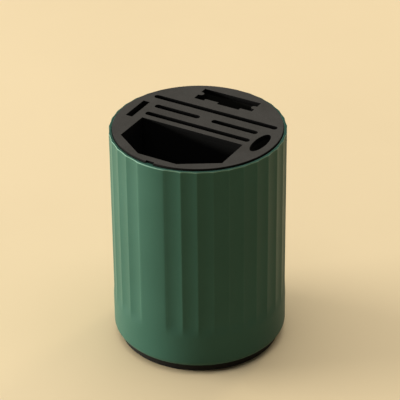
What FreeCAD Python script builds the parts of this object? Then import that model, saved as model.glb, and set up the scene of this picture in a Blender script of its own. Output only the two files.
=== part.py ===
import FreeCAD, Part
import math
import os

from FreeCAD import Vector

# Round desktop caddy for hobby tools: a fluted cup turns on a low base and holds a lift-out slotted insert.
# Millimetres, +Z up. The origin is on the table, under the middle of the base.
# +X runs along the tool slots and +Y towards the stepped cutter slot, so the open pocket faces -Y.

# Overall sizes
CUP_R = 50.45  # smooth band at the foot of the cup
RIM_Z = 134.9
DECK_TOP_Z = 136.0
CUP_FOOT_Z = 5.2
CUP_FOOT_ROUND = 3.8
CUP_INNER_R = 48.0
CUP_FLOOR_TOP_Z = 9.2
SEAT_R = 48.55  # shallow recess round the rim that the deck drops into
RIM_ROUND = 0.6
RIM_INNER_ROUND = 0.4
SNUG_GAP = 0.03  # radial gap of pieces that are pressed or screwed together
PAST = 1.0  # how far a cutting tool runs past the face that it cuts

# Flutes: shallow hollows that meet in sharp arrises, run out above the foot and leave a front panel
FLUTE_COUNT = 35
FLUTE_ARRIS_R = 50.25
FLUTE_VALLEY_R = 49.75
FLUTE_END_Z = 36.5
FLUTE_RUN_OUT = 12.0
FLUTE_END_RELIEF = 0.2  # the cutter's foot ends this far clear of the band
PANEL_MIDDLE_DEG = -1.5  # from -Y, anticlockwise from above; the panel is two flutes wide and stays smooth

# Ribs inside the cup: four carry the insert, one keys it
RIB_ROOT = 0.5  # how far a rib runs into the wall
RIB_DEPTH = 2.2
RIB_WIDTH = 2.4
RIB_ANGLES_DEG = (40.0, 140.0, 245.0, 295.0)
KEY_X = -2.7
KEY_WIDTH = 4.2
KEY_DEPTH = 0.7
KEY_TOP_BELOW_RIM = 0.18
KEY_NOTCH_WIDTH = 5.0
KEY_NOTCH_DEPTH = 1.2

# Turning base
BASE_R = 47.0
BASE_BOTTOM_Z = 0.8
BASE_TOP_Z = 4.6
BASE_EDGE_ROUND = 0.4
FOOT_INNER_R = 36.0
FOOT_OUTER_R = 43.0
FOOT_TOP_Z = 1.5

# Ball track between base and cup
TRACK_R = 30.0
TRACK_HALF_WIDTH = 4.0
RACE_THICKNESS = 0.8
RACE_SIDE_GAP = 0.05
BALL_COUNT = 24
BALL_R = 1.97
BALL_CENTRE_Z = 4.9
BALL_TRACK_HALF_GAP = 2.0  # from ball centre to either race
CAGE_HALF_WIDTH = 3.2
CAGE_HALF_HEIGHT = 0.7
CAGE_POCKET_GAP = 0.15

# Pivot in the middle of the base
SPIGOT_R = 5.9
SPIGOT_TOP_Z = 9.9
BUSH_BORE_R = 5.95
BUSH_R = 7.5
BUSH_FLANGE_R = 9.5
BUSH_FLANGE_TOP_Z = 9.8
WASHER_R = 9.0
WASHER_THICKNESS = 0.8
SCREW_R = 1.9
SCREW_HEAD_R = 3.8
SCREW_HEAD_HEIGHT = 2.2
SCREW_HEAD_ROUND = 1.0
SCREW_RECESS_REACH = 2.0
SCREW_RECESS_DEPTH = 1.2
SCREW_TIP_Z = 2.6
CAP_R = 12.5
CAP_WALL = 1.2
CAP_ROUND = 2.5
CAP_TOP_Z = 15.2

# Insert: slotted deck, hung pocket, sleeves, posts and lower guide plate
DECK_R = 48.2
DECK_THICKNESS = 3.0
DECK_EDGE_ROUND = 0.2
SLOT_WIDTH = 3.6
SLEEVE_WALL = 1.3
GUIDE_R = 45.2
GUIDE_TOP_Z = 47.0
GUIDE_THICKNESS = 2.6
GUIDE_SLOT_MORE = 0.6  # the guide's slots are this much wider
POCKET_FLOOR = 2.0

POCKET_HALF_WIDTH = 32.4
POCKET_BACK_Y = -6.7
POCKET_SHOULDER_Y = -29.6
POCKET_FRONT_Y = -42.7
POCKET_FRONT_X = (-13.2, 11.2)

LONG_SLOT_BACK = {"x": (-39.4, 40.4), "y": 18.8}
LONG_SLOT_FRONT = {"x": (-33.5, 33.5), "y": -0.9}
SHORT_SLOTS_Y = 8.9
SHORT_SLOT_INNER_X = 4.0
SHORT_SLOT_OUTER_X = 33.2

BLADE_SLOT_X = -40.1
BLADE_SLOT_Y = (-8.7, 10.8)
BLADE_SLOT_WIDTH = 4.1

OVAL_X = 39.9
OVAL_HALF_LENGTH = 10.3
OVAL_HALF_WIDTH = 3.7
OVAL_SLEEVE_BOTTOM_Z = GUIDE_TOP_Z

CUTTER_HALF_WIDTH = 18.3
CUTTER_BACK_Y = 40.3
CUTTER_FRONT_Y = 27.6
CUTTER_STEP_Y = 29.6
CUTTER_LEFT_TAB_X = -12.0
CUTTER_BULGE_X = (-3.3, 10.7)
CUTTER_PEG_Y = (32.3, 35.9)
CUTTER_PEG_REACH = 2.7
CUTTER_SLEEVE_BOTTOM_Z = 88.0

POST_R = 2.5
POST_PLACES = ((-27.5, 27.0), (27.5, 27.0), (-37.2, -18.0), (37.2, -18.0))
POST_PIN_R = 1.4
POST_PIN_LENGTH = 1.6
POST_SCREW_R = 1.1
POST_SCREW_LENGTH = 9.0
POST_SCREW_HEAD_R = 2.1
POST_SCREW_HEAD_HEIGHT = 1.3
POST_SCREW_RECESS_REACH = 1.2
POST_SCREW_RECESS_DEPTH = 0.7

DECK_BOTTOM_Z = DECK_TOP_Z - DECK_THICKNESS
GUIDE_BOTTOM_Z = GUIDE_TOP_Z - GUIDE_THICKNESS


def disc(radius, z0, z1, x=0.0, y=0.0):
    return Part.makeCylinder(radius, z1 - z0, Vector(x, y, z0))


def ring(inner, outer, z0, z1):
    return disc(outer, z0, z1).cut(disc(inner, z0 - PAST, z1 + PAST))


def prism(wire, z0, z1):
    """A straight block on a closed outline that is drawn at z 0."""
    block = Part.Face(wire).extrude(Vector(0, 0, z1 - z0))
    block.translate(Vector(0, 0, z0))
    return block


def closed_path(corners, place):
    """A closed wire. A corner is a pair, or ("arc", middle, end), and place makes a pair a point."""
    edges = []
    at = place(corners[0])
    for corner in corners[1:] + corners[:1]:
        if corner[0] == "arc":
            end = place(corner[2])
            edges.append(Part.Arc(at, place(corner[1]), end).toShape())
        else:
            end = place(corner)
            if not end.isEqual(at, 1e-7):
                edges.append(Part.LineSegment(at, end).toShape())
        at = end
    return Part.Wire(edges)


def outline(corners):
    return closed_path(corners, lambda pair: Vector(pair[0], pair[1], 0))


def turned(corners):
    """A solid of revolution about Z from (radius, z) corners."""
    profile = closed_path(corners, lambda pair: Vector(pair[0], 0, pair[1]))
    return Part.Face(profile).revolve(Vector(0, 0, 0), Vector(0, 0, 1), 360)


def top_rounded(shape, radius):
    """The shape with every edge in its topmost plane rounded."""
    top = shape.BoundBox.ZMax - radius / 100
    return shape.makeFillet(radius, [e for e in shape.Edges if e.BoundBox.ZMin > top])


def quarter(centre, radius, from_deg, to_deg):
    """An arc corner for turned(): its middle and its end."""
    middle, end = (
        (
            centre[0] + radius * math.cos(math.radians(angle)),
            centre[1] + radius * math.sin(math.radians(angle)),
        )
        for angle in ((from_deg + to_deg) / 2, to_deg)
    )
    return ("arc", middle, end)


def about_z(shape, angle_deg):
    copy = shape.copy()
    copy.rotate(Vector(0, 0, 0), Vector(0, 0, 1), angle_deg)
    return copy


def rounded_slot(x0, x1, y, width):
    """Outline of a slot along X with half-round ends."""
    r = width / 2
    return outline(
        [
            (x0 + r, y - r),
            (x1 - r, y - r),
            ("arc", (x1, y), (x1 - r, y + r)),
            (x0 + r, y + r),
            ("arc", (x0, y), (x0 + r, y - r)),
        ]
    )


def oval(half_length, half_width):
    """Outline of the oval slot, long axis along Y."""
    ellipse = Part.Ellipse(Vector(0, 0, 0), half_length, half_width)
    wire = Part.Wire([ellipse.toShape()])
    wire.rotate(Vector(0, 0, 0), Vector(0, 0, 1), 90)
    wire.translate(Vector(OVAL_X, 0, 0))
    return wire


def pocket_side(front_x, more):
    """Corners of the pocket's right half, back to front, where its front edge ends at front_x."""
    slant = math.hypot(POCKET_HALF_WIDTH - front_x, POCKET_FRONT_Y - POCKET_SHOULDER_Y)
    run = (POCKET_HALF_WIDTH - front_x) / slant
    rise = (POCKET_SHOULDER_Y - POCKET_FRONT_Y) / slant
    at_side = more * (1 - rise) / run
    at_front = more * (1 - run) / rise
    side = POCKET_HALF_WIDTH + more
    return [
        (side, POCKET_BACK_Y + more),
        (side, POCKET_SHOULDER_Y - at_side),
        (front_x + at_front, POCKET_FRONT_Y - more),
    ]


def pocket_outline(more=0.0):
    """The open pocket: a rectangle with two long corners cut off. more moves every side outwards."""
    left_end, right_end = POCKET_FRONT_X
    right = pocket_side(right_end, more)
    left = [(-x, y) for x, y in reversed(pocket_side(-left_end, more))]
    return outline(right + left)


def cutter_outline():
    """The stepped slot: a round-nosed peg stands in from each end, and the front edge steps in and out."""
    left, right = -CUTTER_HALF_WIDTH, CUTTER_HALF_WIDTH
    peg_low, peg_high = CUTTER_PEG_Y
    peg_middle = (peg_low + peg_high) / 2
    peg_round = (peg_high - peg_low) / 2
    nose = CUTTER_HALF_WIDTH - CUTTER_PEG_REACH
    return outline(
        [
            (left, CUTTER_FRONT_Y),
            (CUTTER_LEFT_TAB_X, CUTTER_FRONT_Y),
            (CUTTER_LEFT_TAB_X, CUTTER_STEP_Y),
            (CUTTER_BULGE_X[0], CUTTER_STEP_Y),
            (CUTTER_BULGE_X[0], CUTTER_FRONT_Y),
            (CUTTER_BULGE_X[1], CUTTER_FRONT_Y),
            (CUTTER_BULGE_X[1], CUTTER_STEP_Y),
            (right, CUTTER_STEP_Y),
            (right, peg_low),
            (nose + peg_round, peg_low),
            ("arc", (nose, peg_middle), (nose + peg_round, peg_high)),
            (right, peg_high),
            (right, CUTTER_BACK_Y),
            (left, CUTTER_BACK_Y),
            (left, peg_high),
            (-nose - peg_round, peg_high),
            ("arc", (-nose, peg_middle), (-nose - peg_round, peg_low)),
            (left, peg_low),
        ]
    )


def box_outline(x0, x1, y0, y1):
    return outline([(x0, y0), (x1, y0), (x1, y1), (x0, y1)])


def tool_slots(more=0.0):
    """Outlines of the narrow slots that pass through deck and guide plate."""
    width = SLOT_WIDTH + more
    half = more / 2
    long_slots = [
        rounded_slot(s["x"][0] - half, s["x"][1] + half, s["y"], width)
        for s in (LONG_SLOT_BACK, LONG_SLOT_FRONT)
    ]
    inner, outer = SHORT_SLOT_INNER_X - half, SHORT_SLOT_OUTER_X + half
    short_slots = [
        rounded_slot(x0, x1, SHORT_SLOTS_Y, width)
        for x0, x1 in ((-outer, -inner), (inner, outer))
    ]
    across = (BLADE_SLOT_WIDTH + more) / 2
    near, far = BLADE_SLOT_Y
    blade = box_outline(BLADE_SLOT_X - across, BLADE_SLOT_X + across, near - half, far + half)
    return long_slots + short_slots + [blade]


def flute_cutter():
    """Turned tool that leaves one hollow: its foot curves away so that the hollow runs out."""
    half_pitch = math.pi / FLUTE_COUNT
    chord_x = FLUTE_ARRIS_R * math.cos(half_pitch)
    chord_y = FLUTE_ARRIS_R * math.sin(half_pitch)
    depth = chord_x - FLUTE_VALLEY_R
    tool_r = (chord_y**2 + depth**2) / (2 * depth)
    relief = CUP_R - FLUTE_VALLEY_R + FLUTE_END_RELIEF
    run_out_r = (FLUTE_RUN_OUT**2 + relief**2) / (2 * relief)
    end_angle = math.asin(FLUTE_RUN_OUT / run_out_r)
    foot = ("arc",) + tuple(
        (
            tool_r - run_out_r * (1 - math.cos(angle)),
            FLUTE_END_Z - run_out_r * math.sin(angle),
        )
        for angle in (end_angle / 2, end_angle)
    )
    tool = turned(
        [
            (0, RIM_Z + PAST),
            (tool_r, RIM_Z + PAST),
            (tool_r, FLUTE_END_Z),
            foot,
            (0, FLUTE_END_Z - FLUTE_RUN_OUT),
        ]
    )
    tool.translate(Vector(0, -(FLUTE_VALLEY_R + tool_r), 0))
    return tool


def cup_body():
    """Outside of the cup, solid: rounded foot, smooth band, flutes and a smooth panel up to a rounded rim."""
    foot_flat_r = CUP_R - CUP_FOOT_ROUND
    body = turned(
        [
            (0, CUP_FOOT_Z),
            (foot_flat_r, CUP_FOOT_Z),
            quarter((foot_flat_r, CUP_FOOT_Z + CUP_FOOT_ROUND), CUP_FOOT_ROUND, -90, 0),
            (CUP_R, RIM_Z - RIM_ROUND),
            quarter((CUP_R - RIM_ROUND, RIM_Z - RIM_ROUND), RIM_ROUND, 0, 90),
            (0, RIM_Z),
        ]
    )
    cutter = flute_cutter()
    pitch = 360.0 / FLUTE_COUNT
    for i in range(1, FLUTE_COUNT - 1):
        body = body.cut(about_z(cutter, PANEL_MIDDLE_DEG + (i + 0.5) * pitch))
    return body


def outer_cup():
    lip = (SEAT_R + RIM_INNER_ROUND, RIM_Z - RIM_INNER_ROUND)
    hollow = turned(
        [
            (0, CUP_FLOOR_TOP_Z),
            (CUP_INNER_R, CUP_FLOOR_TOP_Z),
            (CUP_INNER_R, DECK_BOTTOM_Z),
            (SEAT_R, DECK_BOTTOM_Z),
            (SEAT_R, lip[1]),
            quarter(lip, RIM_INNER_ROUND, 180, 90),
            (lip[0], RIM_Z + PAST),
            (0, RIM_Z + PAST),
        ]
    )
    cup = cup_body().cut(hollow)
    for angle in RIB_ANGLES_DEG:
        rib = Part.makeBox(
            RIB_DEPTH + RIB_ROOT,
            RIB_WIDTH,
            DECK_BOTTOM_Z - CUP_FLOOR_TOP_Z,
            Vector(CUP_INNER_R - RIB_DEPTH, -RIB_WIDTH / 2, CUP_FLOOR_TOP_Z),
        )
        cup = cup.fuse(about_z(rib, angle))
    key_root_y = -SEAT_R - RIB_ROOT
    key = Part.makeBox(
        KEY_WIDTH,
        KEY_DEPTH - CUP_INNER_R - key_root_y,
        RIM_Z - KEY_TOP_BELOW_RIM - CUP_FLOOR_TOP_Z,
        Vector(KEY_X - KEY_WIDTH / 2, key_root_y, CUP_FLOOR_TOP_Z),
    )
    cup = cup.fuse(key)
    upper_race_top = BALL_CENTRE_Z + BALL_TRACK_HALF_GAP + RACE_THICKNESS
    cup = cup.cut(
        ring(
            TRACK_R - TRACK_HALF_WIDTH,
            TRACK_R + TRACK_HALF_WIDTH,
            CUP_FOOT_Z - PAST,
            upper_race_top,
        )
    )
    bore = disc(BUSH_R + SNUG_GAP, CUP_FOOT_Z - PAST, CUP_FLOOR_TOP_Z + PAST)
    return cup.cut(bore).removeSplitter()


def race(z0):
    return ring(
        TRACK_R - TRACK_HALF_WIDTH + RACE_SIDE_GAP,
        TRACK_R + TRACK_HALF_WIDTH - RACE_SIDE_GAP,
        z0,
        z0 + RACE_THICKNESS,
    )


def upper_race():
    return race(BALL_CENTRE_Z + BALL_TRACK_HALF_GAP)


def lower_race():
    return race(BALL_CENTRE_Z - BALL_TRACK_HALF_GAP - RACE_THICKNESS)


def ball_places():
    for i in range(BALL_COUNT):
        angle = 2 * math.pi * i / BALL_COUNT
        yield Vector(
            TRACK_R * math.cos(angle), TRACK_R * math.sin(angle), BALL_CENTRE_Z
        )


def bearing_balls():
    return Part.makeCompound([Part.makeSphere(BALL_R, place) for place in ball_places()])


def ball_cage():
    low, high = BALL_CENTRE_Z - CAGE_HALF_HEIGHT, BALL_CENTRE_Z + CAGE_HALF_HEIGHT
    cage = ring(TRACK_R - CAGE_HALF_WIDTH, TRACK_R + CAGE_HALF_WIDTH, low, high)
    for place in ball_places():
        cage = cage.cut(
            disc(BALL_R + CAGE_POCKET_GAP, low - PAST, high + PAST, place.x, place.y)
        )
    return cage


def base_disc():
    flat_r = BASE_R - BASE_EDGE_ROUND
    base = turned(
        [
            (0, BASE_BOTTOM_Z),
            (flat_r, BASE_BOTTOM_Z),
            quarter((flat_r, BASE_BOTTOM_Z + BASE_EDGE_ROUND), BASE_EDGE_ROUND, -90, 0),
            (BASE_R, BASE_TOP_Z),
            (SPIGOT_R, BASE_TOP_Z),
            (SPIGOT_R, SPIGOT_TOP_Z),
            (0, SPIGOT_TOP_Z),
        ]
    )
    lower_race_bottom = BALL_CENTRE_Z - BALL_TRACK_HALF_GAP - RACE_THICKNESS
    base = base.cut(
        ring(
            TRACK_R - TRACK_HALF_WIDTH,
            TRACK_R + TRACK_HALF_WIDTH,
            lower_race_bottom,
            BASE_TOP_Z + PAST,
        )
    )
    base = base.cut(ring(FOOT_INNER_R - SNUG_GAP, FOOT_OUTER_R + SNUG_GAP, 0, FOOT_TOP_Z))
    return base.cut(disc(SCREW_R + SNUG_GAP, SCREW_TIP_Z, SPIGOT_TOP_Z + PAST))


def anti_slip_ring():
    return ring(FOOT_INNER_R, FOOT_OUTER_R, 0, FOOT_TOP_Z)


def pivot_bush():
    bush = disc(BUSH_R, CUP_FOOT_Z, CUP_FLOOR_TOP_Z).fuse(
        disc(BUSH_FLANGE_R, CUP_FLOOR_TOP_Z, BUSH_FLANGE_TOP_Z)
    )
    return bush.cut(disc(BUSH_BORE_R, 0, SPIGOT_TOP_Z + PAST)).removeSplitter()


def pivot_washer():
    return ring(
        SCREW_R + SNUG_GAP, WASHER_R, SPIGOT_TOP_Z, SPIGOT_TOP_Z + WASHER_THICKNESS
    )


def cross_recess(x, y, z0, z1, reach):
    """A plus-shaped driver recess."""
    arm = reach / 6
    bars = [
        prism(box_outline(x - a, x + a, y - b, y + b), z0, z1)
        for a, b in ((reach, arm), (arm, reach))
    ]
    return bars[0].fuse(bars[1])


def pivot_screw():
    head_z = SPIGOT_TOP_Z + WASHER_THICKNESS
    head_top = head_z + SCREW_HEAD_HEIGHT
    head = top_rounded(disc(SCREW_HEAD_R, head_z, head_top), SCREW_HEAD_ROUND)
    screw = head.fuse(disc(SCREW_R, SCREW_TIP_Z, head_z)).removeSplitter()
    return screw.cut(cross_recess(0, 0, head_top - SCREW_RECESS_DEPTH, head_top, SCREW_RECESS_REACH))


def pivot_cap():
    """Domed cover over the pivot screw, inside the cup."""
    cap = top_rounded(disc(CAP_R, CUP_FLOOR_TOP_Z, CAP_TOP_Z), CAP_ROUND)
    return cap.cut(disc(CAP_R - CAP_WALL, CUP_FLOOR_TOP_Z - PAST, CAP_TOP_Z - CAP_WALL))


def deck_plate():
    """Top of the insert, with every opening through it and all its top edges eased."""
    deck = disc(DECK_R, DECK_BOTTOM_Z, DECK_TOP_Z)
    notch_half = KEY_NOTCH_WIDTH / 2
    notch_y = -(DECK_R - KEY_NOTCH_DEPTH)
    openings = tool_slots() + [
        oval(OVAL_HALF_LENGTH, OVAL_HALF_WIDTH),
        pocket_outline(),
        cutter_outline(),
        box_outline(KEY_X - notch_half, KEY_X + notch_half, -DECK_R - PAST, notch_y),
    ]
    for outline in openings:
        deck = deck.cut(prism(outline, DECK_BOTTOM_Z - PAST, DECK_TOP_Z + PAST))
    for x, y in POST_PLACES:
        deck = deck.cut(
            disc(
                POST_PIN_R + SNUG_GAP,
                DECK_BOTTOM_Z - PAST,
                DECK_BOTTOM_Z + POST_PIN_LENGTH,
                x,
                y,
            )
        )
    return top_rounded(deck, DECK_EDGE_ROUND)


def pocket_cup():
    """Walled pocket hung under the large opening; its floor rests on the guide plate."""
    cup = prism(pocket_outline(SLEEVE_WALL), GUIDE_TOP_Z, DECK_BOTTOM_Z)
    return cup.cut(prism(pocket_outline(), GUIDE_TOP_Z + POCKET_FLOOR, DECK_BOTTOM_Z + PAST))


def cutter_sleeve():
    """Box under the stepped slot, closed at its foot."""
    wall = SLEEVE_WALL
    half = CUTTER_HALF_WIDTH + wall
    outside = box_outline(-half, half, CUTTER_FRONT_Y - wall, CUTTER_BACK_Y + wall)
    inside = box_outline(
        -CUTTER_HALF_WIDTH, CUTTER_HALF_WIDTH, CUTTER_FRONT_Y, CUTTER_BACK_Y
    )
    sleeve = prism(outside, CUTTER_SLEEVE_BOTTOM_Z, DECK_BOTTOM_Z)
    return sleeve.cut(prism(inside, CUTTER_SLEEVE_BOTTOM_Z + wall, DECK_BOTTOM_Z + PAST))


def oval_sleeve():
    outside = oval(OVAL_HALF_LENGTH + SLEEVE_WALL, OVAL_HALF_WIDTH + SLEEVE_WALL)
    inside = oval(OVAL_HALF_LENGTH, OVAL_HALF_WIDTH)
    sleeve = prism(outside, OVAL_SLEEVE_BOTTOM_Z, DECK_BOTTOM_Z)
    return sleeve.cut(prism(inside, OVAL_SLEEVE_BOTTOM_Z - PAST, DECK_BOTTOM_Z + PAST))


def guide_plate():
    """Lower plate that keeps the tools upright."""
    plate = disc(GUIDE_R, GUIDE_BOTTOM_Z, GUIDE_TOP_Z)
    for outline in tool_slots(GUIDE_SLOT_MORE):
        plate = plate.cut(prism(outline, GUIDE_BOTTOM_Z - PAST, GUIDE_TOP_Z + PAST))
    for x, y in POST_PLACES:
        hole = disc(POST_SCREW_R + SNUG_GAP, GUIDE_BOTTOM_Z - PAST, GUIDE_TOP_Z + PAST, x, y)
        plate = plate.cut(hole)
    return plate


def post(x, y):
    """Spacer post: a pin at its top goes into the deck, a screw from below holds the guide plate."""
    shaft = disc(POST_R, GUIDE_TOP_Z, DECK_BOTTOM_Z, x, y).fuse(
        disc(POST_PIN_R, DECK_BOTTOM_Z, DECK_BOTTOM_Z + POST_PIN_LENGTH, x, y)
    )
    bore = disc(
        POST_SCREW_R + SNUG_GAP, GUIDE_TOP_Z - PAST, GUIDE_TOP_Z + POST_SCREW_LENGTH, x, y
    )
    return shaft.cut(bore).removeSplitter()


def post_screws():
    screws = []
    for x, y in POST_PLACES:
        head_low = GUIDE_BOTTOM_Z - POST_SCREW_HEAD_HEIGHT
        head = disc(POST_SCREW_HEAD_R, head_low, GUIDE_BOTTOM_Z, x, y)
        tip = GUIDE_TOP_Z + POST_SCREW_LENGTH
        screw = head.fuse(disc(POST_SCREW_R, GUIDE_BOTTOM_Z, tip, x, y)).removeSplitter()
        recess_top = head_low + POST_SCREW_RECESS_DEPTH
        screws.append(screw.cut(cross_recess(x, y, head_low, recess_top, POST_SCREW_RECESS_REACH)))
    return Part.makeCompound(screws)


def build():
    nodes = {
        "outer_cup": outer_cup(),
        "upper_race": upper_race(),
        "pivot_bush": pivot_bush(),
        "pivot_cap": pivot_cap(),
        "base_disc": base_disc(),
        "anti_slip_ring": anti_slip_ring(),
        "lower_race": lower_race(),
        "pivot_washer": pivot_washer(),
        "pivot_screw": pivot_screw(),
        "ball_cage": ball_cage(),
        "bearing_balls": bearing_balls(),
        "deck_plate": deck_plate(),
        "pocket_cup": pocket_cup(),
        "cutter_sleeve": cutter_sleeve(),
        "oval_sleeve": oval_sleeve(),
        "guide_plate": guide_plate(),
        "post_screws": post_screws(),
    }
    for number, (x, y) in enumerate(POST_PLACES, 1):
        nodes[f"spacer_post_{number}"] = post(x, y)
    return nodes


def main():
    os.makedirs("parts", exist_ok=True)
    for name, shape in build().items():
        valid = shape.isValid()
        print(name, "valid" if valid else "NOT VALID", round(shape.Volume, 1), "mm3")
        shape.exportStep(os.path.join("parts", name + ".step"))


main()
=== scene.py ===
import math

import bpy
from mathutils import Matrix, Vector


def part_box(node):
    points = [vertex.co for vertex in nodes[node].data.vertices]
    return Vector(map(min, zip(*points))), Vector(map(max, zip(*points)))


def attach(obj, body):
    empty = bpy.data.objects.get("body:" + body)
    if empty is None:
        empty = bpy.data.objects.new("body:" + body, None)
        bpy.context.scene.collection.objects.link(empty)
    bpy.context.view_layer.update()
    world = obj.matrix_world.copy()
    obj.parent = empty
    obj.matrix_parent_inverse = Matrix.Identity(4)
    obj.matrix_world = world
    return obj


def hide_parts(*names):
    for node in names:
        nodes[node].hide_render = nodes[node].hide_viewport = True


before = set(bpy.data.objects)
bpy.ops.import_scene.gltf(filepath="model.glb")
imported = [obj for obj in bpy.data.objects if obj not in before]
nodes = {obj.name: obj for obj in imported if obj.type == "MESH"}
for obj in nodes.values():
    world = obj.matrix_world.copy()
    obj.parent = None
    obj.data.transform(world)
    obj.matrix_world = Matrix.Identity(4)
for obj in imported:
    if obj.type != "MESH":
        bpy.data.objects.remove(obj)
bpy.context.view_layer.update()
scene = bpy.context.scene
mm = 0.001


# camera: fitted to the photograph's 400 px frame

shot = {
    "azimuth": 30.3,  # degrees round from the pocket side
    "elevation": 31.17,
    "roll": -0.59,
    "distance": 1167.4 * mm,
    "aimSideways": 0.79 * mm,
    "aimHeight": 87.3 * mm,
    "focalPixels": 2034.9,
    "framePixels": 400,
    "sensor": 36.0,
    "farthest": 20.0,
}


def viewAxes(azimuth, elevation):
    a = math.radians(azimuth)
    e = math.radians(elevation)
    right = Vector((math.cos(a), math.sin(a), 0))
    ahead = Vector((-math.sin(a) * math.cos(e), math.cos(a) * math.cos(e), -math.sin(e)))
    return right, ahead, right.cross(ahead)


def addCamera():
    right, ahead, up = viewAxes(shot["azimuth"], shot["elevation"])
    aim = right * shot["aimSideways"] + Vector((0, 0, shot["aimHeight"]))
    roll = math.radians(shot["roll"])
    across = right * math.cos(roll) + up * math.sin(roll)
    upright = up * math.cos(roll) - right * math.sin(roll)
    turn = Matrix((across, upright, -ahead)).transposed().to_4x4()
    data = bpy.data.cameras.new("photoCamera")
    data.sensor_width = shot["sensor"]
    data.lens = shot["focalPixels"] / shot["framePixels"] * shot["sensor"]
    data.clip_end = shot["farthest"]
    camera = bpy.data.objects.new("photoCamera", data)
    scene.collection.objects.link(camera)
    camera.matrix_world = Matrix.Translation(aim - ahead * shot["distance"]) @ turn
    scene.camera = camera


addCamera()
print("camera placed")


# light: a broad lamp on the left, a narrow warm one behind on the right, a soft one above

lamps = {  # places in metres, as the shot sees them: to the right, ahead and up
    "wideLeft": {
        "place": (-2.6, 0.30, 0.30), "size": (1.7, 0.58),
        "watts": 182, "tint": (1.0, 0.985, 0.94),
    },
    "warmRight": {
        "place": (0.75, 0.95, 0.45), "size": (0.25, 0.8),
        "watts": 3.4, "tint": (1.0, 0.89, 0.68),
    },
    "softAbove": {
        "place": (-0.2, 0.4, 3.5), "size": (4.0, 4.0),
        "watts": 130, "tint": (1.0, 0.99, 0.98),
    },
}
lampAim = Vector((0, 0, 0.07))
worldLight = {"colour": (1.0, 0.97, 0.93), "strength": 0.1}


def addLamp(name, lamp):
    right, ahead, _ = viewAxes(shot["azimuth"], 0)
    sideways, depth, height = lamp["place"]
    place = right * sideways + ahead * depth + Vector((0, 0, height))
    data = bpy.data.lights.new(name, "AREA")
    data.shape = "RECTANGLE"
    data.size, data.size_y = lamp["size"]
    data.energy = lamp["watts"]
    data.color = lamp["tint"]
    light = bpy.data.objects.new(name, data)
    scene.collection.objects.link(light)
    light.location = place
    light.visible_camera = False
    light.rotation_euler = (lampAim - place).to_track_quat("-Z", "Y").to_euler()


for lampName, lamp in lamps.items():
    addLamp(lampName, lamp)

world = bpy.data.worlds.new("softRoom")
world.use_nodes = True
background = world.node_tree.nodes["Background"]
background.inputs["Color"].default_value = (*worldLight["colour"], 1)
background.inputs["Strength"].default_value = worldLight["strength"]
scene.world = world
scene.view_settings.view_transform = "Standard"
print("lights set")


# node helpers

nodeSpacing = 180


def addNode(tree, kind, **settings):
    node = tree.nodes.new(kind)
    for key, value in settings.items():
        setattr(node, key, value)
    node.location = (len(tree.nodes) * nodeSpacing, 0)
    return node


def plug(tree, socket, value):
    if isinstance(value, bpy.types.NodeSocket):
        tree.links.new(value, socket)
    elif isinstance(value, tuple) and len(value) == 3 and socket.type == "RGBA":
        socket.default_value = (*value, 1)
    else:
        socket.default_value = value


def mathNode(tree, operation, a, b=None, c=None, clamp=False):
    node = addNode(tree, "ShaderNodeMath", operation=operation, use_clamp=clamp)
    for socket, value in zip(node.inputs, (a, b, c)):
        if value is not None:
            plug(tree, socket, value)
    return node.outputs[0]


def times(tree, a, b):
    return mathNode(tree, "MULTIPLY", a, b)


def blendOf(tree, a, shareA, b, shareB):
    return mathNode(tree, "MULTIPLY_ADD", a, shareA, times(tree, b, shareB))


def rangeNode(tree, value, low, high, toLow=0.0, toHigh=1.0, smooth=False):
    node = addNode(tree, "ShaderNodeMapRange")
    if smooth:
        node.interpolation_type = "SMOOTHSTEP"
    for key, given in (
        ("Value", value),
        ("From Min", low),
        ("From Max", high),
        ("To Min", toLow),
        ("To Max", toHigh),
    ):
        plug(tree, node.inputs[key], given)
    return node.outputs["Result"]


def mixColour(tree, mask, a, b):
    node = addNode(tree, "ShaderNodeMix", data_type="RGBA")
    plug(tree, node.inputs["Factor"], mask)
    plug(tree, node.inputs[6], a)  # 6, 7 and 2 are the colour sockets
    plug(tree, node.inputs[7], b)
    return node.outputs[2]


def noiseNode(tree, vector, scale, detail, rough=0.5):
    node = addNode(tree, "ShaderNodeTexNoise")
    plug(tree, node.inputs["Vector"], vector)
    plug(tree, node.inputs["Scale"], scale)
    node.inputs["Detail"].default_value = detail
    node.inputs["Roughness"].default_value = rough
    return node.outputs["Fac"]


def vectorNode(tree, operation, a, b=None):
    node = addNode(tree, "ShaderNodeVectorMath", operation=operation)
    plug(tree, node.inputs[0], a)
    if b is not None:
        plug(tree, node.inputs[1], b)
    return node.outputs


def splitNode(tree, vector):
    node = addNode(tree, "ShaderNodeSeparateXYZ")
    plug(tree, node.inputs[0], vector)
    return node.outputs


def objectPlace(tree):
    return addNode(tree, "ShaderNodeTexCoord").outputs["Object"]


def upwardness(tree):
    # 1 on faces that look straight up, 0 on upright ones
    return splitNode(tree, addNode(tree, "ShaderNodeNewGeometry").outputs["Normal"])["Z"]


def newGroup(name, inputs, outputs):
    tree = bpy.data.node_groups.new(name, "ShaderNodeTree")
    for label, value in inputs.items():
        socket = tree.interface.new_socket(label, in_out="INPUT", socket_type="NodeSocketFloat")
        socket.default_value = value
    for label in outputs:
        tree.interface.new_socket(label, in_out="OUTPUT", socket_type="NodeSocketFloat")
    start = addNode(tree, "NodeGroupInput")
    end = addNode(tree, "NodeGroupOutput")
    return tree, start.outputs, end.inputs


def useGroup(tree, group, **values):
    node = addNode(tree, "ShaderNodeGroup", node_tree=group)
    for label, value in values.items():
        plug(tree, node.inputs[label], value)
    return node.outputs


# shared effects; a pair is a range stretched to 0 and 1, or a noise's detail and roughness

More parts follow.
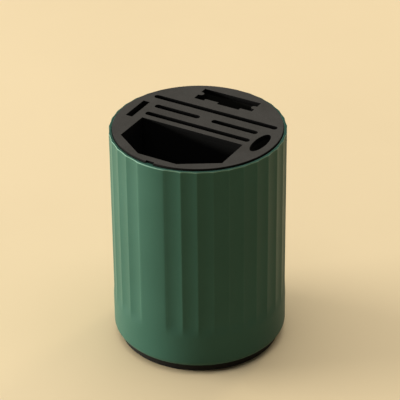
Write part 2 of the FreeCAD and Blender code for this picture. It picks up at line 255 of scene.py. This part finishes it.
grainLook = {
    "scale": 1800.0,
    "noise": (3.0, 0.65),
    "noiseShare": 0.55,
    "pits": (0.05, 0.6),
    "pitShare": 0.45,
    "fleck": (0.42, 0.66),
    "driftScale": 22.0,
    "driftNoise": (4.0, 0.55),
    "drift": (0.3, 0.7),
    "depth": 0.06 * mm,
}
dustLook = {
    "colour": (0.30, 0.29, 0.27),
    "amount": 0.1,
    "facing": (0.5, 0.98),
    "patchScale": 60.0,
    "patchNoise": (5.0, 0.6),
    "patches": (0.38, 0.72),
    "patchShare": 0.4,
    "speckScale": 2600.0,
    "speckDetail": 1.0,
    "specks": (0.56, 0.7),
    "speckShare": 0.7,
}


def buildMouldGrain():
    # fine pitted skin of a textured mould, with a slow drift of tone and gloss
    look = grainLook
    inputs = {"Scale": look["scale"], "Drift": look["driftScale"]}
    tree, given, out = newGroup("mouldGrain", inputs, ("Height", "Fleck", "Drift"))
    spot = objectPlace(tree)
    coarse = noiseNode(tree, spot, given["Scale"], *look["noise"])
    cells = addNode(tree, "ShaderNodeTexVoronoi", feature="F1")
    plug(tree, cells.inputs["Vector"], spot)
    plug(tree, cells.inputs["Scale"], given["Scale"])
    pits = rangeNode(tree, cells.outputs["Distance"], *look["pits"])
    height = blendOf(tree, pits, look["pitShare"], coarse, look["noiseShare"])
    plug(tree, out["Height"], height)
    plug(tree, out["Fleck"], rangeNode(tree, coarse, *look["fleck"]))
    drift = noiseNode(tree, spot, given["Drift"], *look["driftNoise"])
    plug(tree, out["Drift"], rangeNode(tree, drift, *look["drift"]))
    return tree


def buildSettledDust():
    # thin dust on faces that look up, in loose patches
    look = dustLook
    inputs = {"Amount": look["amount"], "Scale": look["patchScale"]}
    tree, given, out = newGroup("settledDust", inputs, ("Mask",))
    facing = rangeNode(tree, upwardness(tree), *look["facing"], smooth=True)
    spot = objectPlace(tree)
    cloud = noiseNode(tree, spot, given["Scale"], *look["patchNoise"])
    patches = rangeNode(tree, cloud, *look["patches"])
    grit = noiseNode(tree, spot, look["speckScale"], look["speckDetail"])
    specks = rangeNode(tree, grit, *look["specks"])
    layer = blendOf(tree, specks, look["speckShare"], patches, look["patchShare"])
    layer = times(tree, layer, facing)
    plug(tree, out["Mask"], mathNode(tree, "MULTIPLY", layer, given["Amount"], clamp=True))
    return tree


mouldGrain = buildMouldGrain()
settledDust = buildSettledDust()


def newMaterial(name):
    material = bpy.data.materials.new(name)
    material.use_nodes = True
    tree = material.node_tree
    return material, tree, tree.nodes["Principled BSDF"]


def addBump(tree, surface, height, strength, distance):
    bump = addNode(tree, "ShaderNodeBump")
    bump.inputs["Strength"].default_value = strength
    bump.inputs["Distance"].default_value = distance
    plug(tree, bump.inputs["Height"], height)
    plug(tree, surface.inputs["Normal"], bump.outputs["Normal"])


# green satin of the cup: rubbed a little paler on the arrises, with a painted highlight round the
# rim

cupLow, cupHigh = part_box("outer_cup")
greenSatin = {
    "deep": (0.0250, 0.0762, 0.0525),
    "pale": (0.0300, 0.0872, 0.0615),
    "arris": (0.0420, 0.112, 0.0800),
    # rim is the colour of a painted highlight on the round edge of the rim
    "rim": (0.125, 0.235, 0.178),
    "specular": 0.12,
    "rough": (0.40, 0.50),
    "scale": 1300.0,
    "drift": 18.0,
    "bump": 0.07,
    "flutes": 35,
    "panelMiddle": -1.5,  # degrees from -Y
    "crestWidth": 0.07,  # in flutes
    "wornFrom": (27 * mm, 37 * mm),  # height at which the rubbing sets in
    "pastPanel": (0.8, 1.0),  # in flutes from the middle of the panel
    "wear": (0.1, 0.5),
    # where the painted rim highlight lies: how far the face turns from up, and how far below the
    # top
    "rimHighlightSlope": (0.97, 0.80),
    "rimHighlightBelowTop": (0.8 * mm, 0.5 * mm),
    "fleckGloss": 0.35,
    "driftGloss": 0.65,
}


def makeGreenSatin():
    look = greenSatin
    material, tree, surface = newMaterial("greenSatin")
    grain = useGroup(tree, mouldGrain, Scale=look["scale"], Drift=look["drift"])
    place = splitNode(tree, objectPlace(tree))
    # how far round from an arris, in flutes: 0 on the arris, 0.5 in the hollow
    angle = mathNode(tree, "ARCTAN2", place["X"], times(tree, place["Y"], -1.0))
    turns = mathNode(tree, "SUBTRACT", angle, math.radians(look["panelMiddle"]))
    count = times(tree, turns, look["flutes"] / math.tau)
    nearness = mathNode(tree, "PINGPONG", count, 0.5)
    crest = rangeNode(tree, nearness, 0.0, look["crestWidth"], 1.0, 0.0, smooth=True)
    above = rangeNode(tree, place["Z"], *look["wornFrom"], smooth=True)
    panel = rangeNode(tree, mathNode(tree, "ABSOLUTE", count), *look["pastPanel"])
    rubbed = times(tree, times(tree, crest, above), panel)
    rubbed = times(tree, rubbed, rangeNode(tree, grain["Drift"], 0.0, 1.0, *look["wear"]))
    colour = mixColour(tree, grain["Drift"], look["deep"], look["pale"])
    colour = mixColour(tree, rubbed, colour, look["arris"])
    # painted highlight: the round edge of the rim is painted paler, to stand in for light caught
    # on it
    rimHighlightFacing = rangeNode(tree, upwardness(tree), *look["rimHighlightSlope"], smooth=True)
    low, high = (cupHigh.z - below for below in look["rimHighlightBelowTop"])
    edge = rangeNode(tree, place["Z"], low, high, smooth=True)
    colour = mixColour(tree, times(tree, edge, rimHighlightFacing), colour, look["rim"])
    plug(tree, surface.inputs["Base Color"], colour)
    gloss = blendOf(tree, grain["Fleck"], look["fleckGloss"], grain["Drift"], look["driftGloss"])
    plug(tree, surface.inputs["Roughness"], rangeNode(tree, gloss, 0.0, 1.0, *look["rough"]))
    surface.inputs["Specular IOR Level"].default_value = look["specular"]
    addBump(tree, surface, grain["Height"], look["bump"], grainLook["depth"])
    return material


# moulded plastics and rubber

deckLow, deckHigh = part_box("deck_plate")
greyPlastic = {
    "deep": (0.0376, 0.0350, 0.0299), "pale": (0.0506, 0.0468, 0.0403), "rough": (0.64, 0.78),
    "scale": 1500.0, "bump": 0.22, "dust": 0.10, "specular": 0.1,
}
# painted shade for the insides of the sleeves
sleeveInsidePaintedShade = {"wall": (0.0170, 0.0170, 0.0140), "wallRough": 0.62}
moulded = {  # wall is painted shade, a blacker colour on slot walls and on the inside of the node in around; edge is painted shade on the deck's outer side
    "insertGrey": {
        **greyPlastic, "edge": (0.0085, 0.0080, 0.0070),
        "wall": (0.0036, 0.0034, 0.0030), "wallRough": 1.0,
    },
    "postGrey": greyPlastic,
    "pocketGrey": {
        **greyPlastic, "around": "pocket_cup",
        "wall": (0.0050, 0.0048, 0.0043), "wallRough": 1.0,
    },
    "cutterGrey": {**greyPlastic, **sleeveInsidePaintedShade, "around": "cutter_sleeve"},
    "ovalGrey": {**greyPlastic, **sleeveInsidePaintedShade, "around": "oval_sleeve"},
    "baseBlack": {
        "deep": (0.0044, 0.0041, 0.0036), "pale": (0.0070, 0.0065, 0.0057), "rough": (0.46, 0.58),
        "scale": 1700.0, "bump": 0.12, "dust": 0.04, "specular": 0.12,
    },
    "footRubber": {
        "deep": (0.014, 0.014, 0.014), "pale": (0.024, 0.024, 0.023), "rough": (0.78, 0.92),
        "scale": 900.0, "bump": 0.35, "dust": 0.12, "specular": 0.3,
    },
    "nylonWhite": {
        "deep": (0.64, 0.63, 0.58), "pale": (0.76, 0.75, 0.70), "rough": (0.36, 0.46),
        "scale": 700.0, "bump": 0.06, "dust": 0.0, "specular": 0.5,
    },
}
mouldedSkin = {
    "drift": 26.0,
    "fleckTone": 0.5,
    "driftTone": 0.5,
    # topFacing, edgeIn and turnSoft shape the painted shade: which faces look up, the deck's
    # outer band, and the turn between outside and inside faces
    "topFacing": (0.75, 0.97),
    "edgeIn": (0.5 * mm, 0.2 * mm),
    "turnSoft": 0.2 * mm,
}


def deckEdge(tree):
    flat = vectorNode(tree, "MULTIPLY", objectPlace(tree), (1, 1, 0))[0]
    low, high = (deckHigh.x - inward for inward in mouldedSkin["edgeIn"])
    return rangeNode(tree, vectorNode(tree, "LENGTH", flat)["Value"], low, high)


def outerFaces(tree, name):
    # 1 on faces that look away from the middle of a hollow piece, 0 on those inside it
    low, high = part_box(name)
    place = addNode(tree, "ShaderNodeTexCoord").outputs
    away = vectorNode(tree, "SUBTRACT", place["Object"], tuple((low + high) / 2))[0]
    along = vectorNode(tree, "DOT_PRODUCT", away, place["Normal"])["Value"]
    return rangeNode(tree, along, -mouldedSkin["turnSoft"], mouldedSkin["turnSoft"])


def makeMoulded(name):
    look = moulded[name]
    material, tree, surface = newMaterial(name)
    grain = useGroup(tree, mouldGrain, Scale=look["scale"], Drift=mouldedSkin["drift"])
    fleckTone, driftTone = mouldedSkin["fleckTone"], mouldedSkin["driftTone"]
    tone = blendOf(tree, grain["Fleck"], fleckTone, grain["Drift"], driftTone)
    colour = mixColour(tree, tone, look["deep"], look["pale"])
    gloss = rangeNode(tree, grain["Drift"], 0.0, 1.0, *look["rough"])
    # painted shade: upright faces and the insides of hollow pieces get the darker wall colour,
    # the deck's outer side the edge colour
    if "wall" in look:
        wall = look["wall"]
        if "around" in look:
            unshadedFaces = outerFaces(tree, look["around"])
        else:
            unshadedFaces = rangeNode(tree, upwardness(tree), *mouldedSkin["topFacing"], smooth=True)
            wall = mixColour(tree, deckEdge(tree), wall, look["edge"])
        colour = mixColour(tree, unshadedFaces, wall, colour)
        gloss = rangeNode(tree, unshadedFaces, 0.0, 1.0, look["wallRough"], gloss)
    if look["dust"]:
        dust = useGroup(tree, settledDust, Amount=look["dust"])["Mask"]
        colour = mixColour(tree, dust, colour, dustLook["colour"])
    plug(tree, surface.inputs["Base Color"], colour)
    plug(tree, surface.inputs["Roughness"], gloss)
    surface.inputs["Specular IOR Level"].default_value = look["specular"]
    addBump(tree, surface, grain["Height"], look["bump"], grainLook["depth"])
    return material


# turned steel: fine rings about the pivot, smeared lightly with grease

bearingSteel = {
    "deep": (0.46, 0.46, 0.47),
    "pale": (0.62, 0.62, 0.61),
    "rough": (0.16, 0.30),
    "scale": 500.0,
    "drift": 120.0,
    "ringScale": 900.0,
    "ringWander": 0.4,
    "bump": 0.05,
    "ringDepth": 0.02 * mm,
}


def makeBearingSteel():
    look = bearingSteel
    material, tree, surface = newMaterial("bearingSteel")
    grain = useGroup(tree, mouldGrain, Scale=look["scale"], Drift=look["drift"])
    rings = addNode(tree, "ShaderNodeTexWave", wave_type="RINGS", rings_direction="Z")
    plug(tree, rings.inputs["Vector"], objectPlace(tree))
    rings.inputs["Scale"].default_value = look["ringScale"]
    rings.inputs["Distortion"].default_value = look["ringWander"]
    colour = mixColour(tree, grain["Drift"], look["deep"], look["pale"])
    plug(tree, surface.inputs["Base Color"], colour)
    surface.inputs["Metallic"].default_value = 1.0
    gloss = rangeNode(tree, grain["Fleck"], 0.0, 1.0, *look["rough"])
    plug(tree, surface.inputs["Roughness"], gloss)
    addBump(tree, surface, rings.outputs["Fac"], look["bump"], look["ringDepth"])
    return material


finishes = {"greenSatin": makeGreenSatin(), "bearingSteel": makeBearingSteel()}
for finishName in moulded:
    finishes[finishName] = makeMoulded(finishName)
print("materials made:", ", ".join(finishes))


# cup: one closed skin of rings, with a shallow flute round every pitch

cup = {
    "flutes": greenSatin["flutes"],
    "panelMiddle": math.radians(greenSatin["panelMiddle"]),  # two flutes are left out here
    "bandRadius": cupHigh.x,
    "arrisIn": 0.2 * mm,
    "valleyIn": 0.7 * mm,
    "arrisSoft": 0.18 * mm,
    "panelSoft": 0.12 * mm,
    "fluteFull": 33.5 * mm,  # full depth from here up
    "fluteEnd": 25.0 * mm,  # smooth band from here down
    "footRound": 3.8 * mm,
    "rimRound": 0.6 * mm,
    "rimSoft": 0.15 * mm,
    "lipRound": 0.4 * mm,
    "seatRadius": 48.55 * mm,
    "innerRadius": 48.0 * mm,
    "floorTop": 9.2 * mm,
    "floorRound": 0.8 * mm,
    "boreRadius": 7.53 * mm,
    "track": (26.0 * mm, 34.0 * mm, 7.7 * mm),  # inner and outer radius, top
    "ribAngles": (40.0, 140.0, 245.0, 295.0),  # degrees from +X
    "ribWidth": 2.4 * mm,
    "ribDepth": 2.2 * mm,
    "keyX": -2.7 * mm,
    "keyWidth": 4.2 * mm,
    "keyDepth": 0.7 * mm,
    "keyBelowRim": 0.18 * mm,
    "stepFlank": 0.12 * mm,
    "sharpAngle": 38.0,
}
cupGrid = {  # where the skin has its points
    "besideArris": [offset * mm for offset in (0.12, 0.26, 0.5, 1.0, 1.8, 2.7, 3.6)],
    "closest": 1e-5,  # radians
    "footSteps": 9,
    "bandHeights": [14 * mm, 19 * mm],
    "belowFade": 1.5 * mm,
    "fadeSteps": 12,
    "aboveFade": 2 * mm,
    "wallHeights": [45 * mm, 70 * mm, 95 * mm, 115 * mm, 128 * mm],
    "rimSteps": 6,
    "lipSteps": 4,
    "insideHeight": 70 * mm,
    "floorRadii": [40 * mm, 20 * mm],
}


def softMin(a, b, k):
    near = max(k - abs(a - b), 0.0)
    return min(a, b) - near * near / (4 * k)


def clamped(share):
    return min(max(share, 0.0), 1.0)


def wrapped(angle):
    return (angle + math.pi) % math.tau - math.pi


# each hollow is part of a circle through its two arrises and the bottom of the valley
pitch = math.tau / cup["flutes"]
arrisRadius = cup["bandRadius"] - cup["arrisIn"]
valleyRadius = cup["bandRadius"] - cup["valleyIn"]
chordHalf = arrisRadius * math.sin(pitch / 2)
hollowDepth = arrisRadius * math.cos(pitch / 2) - valleyRadius
hollowRadius = (chordHalf**2 + hollowDepth**2) / (2 * hollowDepth)
hollowCentre = valleyRadius + hollowRadius


def hollowAt(angle):
    across = hollowCentre * math.sin(angle)
    return hollowCentre * math.cos(angle) - math.sqrt(hollowRadius**2 - across**2)


def outsideRadius(angle, z):
    at = (angle - cup["panelMiddle"]) / pitch % cup["flutes"]
    band = cup["bandRadius"]
    radius = band + cup["valleyIn"]
    for i in range(int(at) - 1, int(at) + 2):
        if i % cup["flutes"] not in (0, cup["flutes"] - 1):
            radius = softMin(hollowAt((at - i - 0.5) * pitch), radius, cup["arrisSoft"])
    depth = band - softMin(radius, band, cup["panelSoft"])
    up = clamped((z - cup["fluteEnd"]) / (cup["fluteFull"] - cup["fluteEnd"]))
    return band - depth * up * up * (3 - 2 * up)


def insideSteps():
    # angle, half width, flank and kind of each rib and of the key, in radians at the inner wall
    inner = cup["innerRadius"]
    flank = cup["stepFlank"] / inner
    for angle in cup["ribAngles"]:
        yield math.radians(angle + 90), cup["ribWidth"] / 2 / inner, flank, "rib"
    yield math.asin(cup["keyX"] / inner), cup["keyWidth"] / 2 / inner, flank, "key"


def insideRadius(angle, wall, kinds):
    radius = wall
    for spot, half, flank, kind in insideSteps():
        if kind in kinds:
            away = abs(wrapped(angle - spot))
            share = clamped((half + flank - away) / (2 * flank))
            radius += (cup["innerRadius"] - cup[kind + "Depth"] - wall) * share
    return radius


def cupAngles():
    angles = []
    for i in range(cup["flutes"]):
        crest = cup["panelMiddle"] + i * pitch
        angles += [crest, crest + pitch / 2]
        for offset in cupGrid["besideArris"]:
            turn = offset / cup["bandRadius"]
            angles += [crest - turn, crest + turn]
    for spot, half, flank, _ in insideSteps():
        for edge in (half - flank, half, half + flank):
            angles += [spot - edge, spot + edge]
    angles = sorted(wrapped(angle) for angle in angles)
    kept = angles[:1]
    for angle in angles[1:]:
        if angle - kept[-1] > cupGrid["closest"]:
            kept.append(angle)
    return kept


def quarterSteps(count):
    return [math.pi / 2 * i / count for i in range(count + 1)]


# a ring is its height and its radius as a function of the angle


def plainRing(z, radius):
    return z, lambda angle: radius


def flutedRing(z):
    return z, lambda angle: outsideRadius(angle, z)


def rimRing(z, limit):
    return z, lambda angle: softMin(outsideRadius(angle, z), limit, cup["rimSoft"])


def insideRing(z, wall, *kinds):
    return z, lambda angle: insideRadius(angle, wall, kinds)


def undersideRings(foot):
    trackIn, trackOut, trackTop = cup["track"]
    rings = [
        plainRing(foot, cup["boreRadius"]),
        plainRing(foot, trackIn),
        plainRing(trackTop, trackIn),
        plainRing(trackTop, trackOut),
        plainRing(foot, trackOut),
    ]
    bend = cup["footRound"]
    for a in quarterSteps(cupGrid["footSteps"]):
        radius = cup["bandRadius"] - bend + bend * math.sin(a)
        rings.append(plainRing(foot + bend * (1 - math.cos(a)), radius))
    return rings


def outsideRings(rim):
    low, high = cup["fluteEnd"], cup["fluteFull"]
    steps = cupGrid["fadeSteps"]
    heights = cupGrid["bandHeights"] + [low - cupGrid["belowFade"]]
    heights += [low + (high - low) * i / steps for i in range(steps + 1)]
    heights += [high + cupGrid["aboveFade"]] + cupGrid["wallHeights"]
    rings = [flutedRing(z) for z in heights]
    bend = cup["rimRound"]
    for a in quarterSteps(cupGrid["rimSteps"]):
        limit = cup["bandRadius"] - bend + bend * math.cos(a)
        rings.append(rimRing(rim - bend + bend * math.sin(a), limit))
    return rings


def insideRings(rim):
    seat, wall, bend = cup["seatRadius"], cup["innerRadius"], cup["lipRound"]
    rings = []
    for a in quarterSteps(cupGrid["lipSteps"]):
        drop = bend * (1 - math.cos(a))
        kinds = ("key",) if drop > cup["keyBelowRim"] else ()
        rings.append(insideRing(rim - drop, seat + bend * (1 - math.sin(a)), *kinds))
    floor, corner = cup["floorTop"], cup["floorRound"]
    rings += [
        insideRing(deckLow.z, seat, "key"),
        insideRing(deckLow.z, wall, "rib", "key"),
        insideRing(cupGrid["insideHeight"], wall, "rib", "key"),
        insideRing(floor + corner, wall, "rib", "key"),
        insideRing(floor, wall - corner, "rib", "key"),
    ]
    return rings + [plainRing(floor, r) for r in cupGrid["floorRadii"] + [cup["boreRadius"]]]


def skinOfRings(name, rings, angles):
    points = []
    for z, radiusAt in rings:
        for angle in angles:
            radius = radiusAt(angle)
            points.append((radius * math.sin(angle), -radius * math.cos(angle), z))
    across = len(angles)
    faces = []
    for i in range(len(rings)):
        j = (i + 1) % len(rings)
        for k in range(across):
            n = (k + 1) % across
            faces.append((i * across + k, i * across + n, j * across + n, j * across + k))
    mesh = bpy.data.meshes.new(name)
    mesh.from_pydata(points, [], faces)
    mesh.validate()
    mesh.shade_smooth()
    mesh.set_sharp_from_angle(angle=math.radians(cup["sharpAngle"]))
    piece = bpy.data.objects.new(name, mesh)
    scene.collection.objects.link(piece)
    return piece


# from the bore outwards, up, over the rim and back
cupRings = undersideRings(cupLow.z) + outsideRings(cupHigh.z) + insideRings(cupHigh.z)
flutedCup = skinOfRings("flutedCup", cupRings, cupAngles())
flutedCup.data.materials.append(finishes["greenSatin"])
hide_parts("outer_cup")
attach(flutedCup, "cup")
print("cup made:", len(flutedCup.data.vertices), "points")


# solids that keep their shape get a finish; those not named here are steel

nodeFinish = {
    "outer_cup": "greenSatin",
    "deck_plate": "insertGrey",
    "pocket_cup": "pocketGrey",
    "cutter_sleeve": "cutterGrey",
    "oval_sleeve": "ovalGrey",
    "guide_plate": "insertGrey",
    "pivot_cap": "insertGrey",
    "spacer_post_1": "postGrey",
    "spacer_post_2": "postGrey",
    "spacer_post_3": "postGrey",
    "spacer_post_4": "postGrey",
    "base_disc": "baseBlack",
    "anti_slip_ring": "footRubber",
    "ball_cage": "nylonWhite",
    "pivot_bush": "nylonWhite",
}
for name, node in nodes.items():
    node.data.materials.clear()
    node.data.materials.append(finishes[nodeFinish.get(name, "bearingSteel")])
print("finishes given to", len(nodes), "nodes")


# floor

floorLook = {
    "colour": (0.74, 0.595, 0.370),
    "shade": (0.71, 0.57, 0.352),
    "rough": 0.9,
    "specular": 0.0,
    "scale": 300.0,
    "drift": 4.0,
    "reach": 6.0,  # metres each way
}


def addFloor():
    reach = floorLook["reach"]
    corners = [(-reach, -reach, 0), (reach, -reach, 0), (reach, reach, 0), (-reach, reach, 0)]
    mesh = bpy.data.meshes.new("paleFloor")
    mesh.from_pydata(corners, [], [(0, 1, 2, 3)])
    floor = bpy.data.objects.new("paleFloor", mesh)
    scene.collection.objects.link(floor)
    material, tree, surface = newMaterial("paleFloor")
    grain = useGroup(tree, mouldGrain, Scale=floorLook["scale"], Drift=floorLook["drift"])
    colour = mixColour(tree, grain["Drift"], floorLook["shade"], floorLook["colour"])
    plug(tree, surface.inputs["Base Color"], colour)
    surface.inputs["Roughness"].default_value = floorLook["rough"]
    surface.inputs["Specular IOR Level"].default_value = floorLook["specular"]
    mesh.materials.append(material)


addFloor()
print("floor laid")
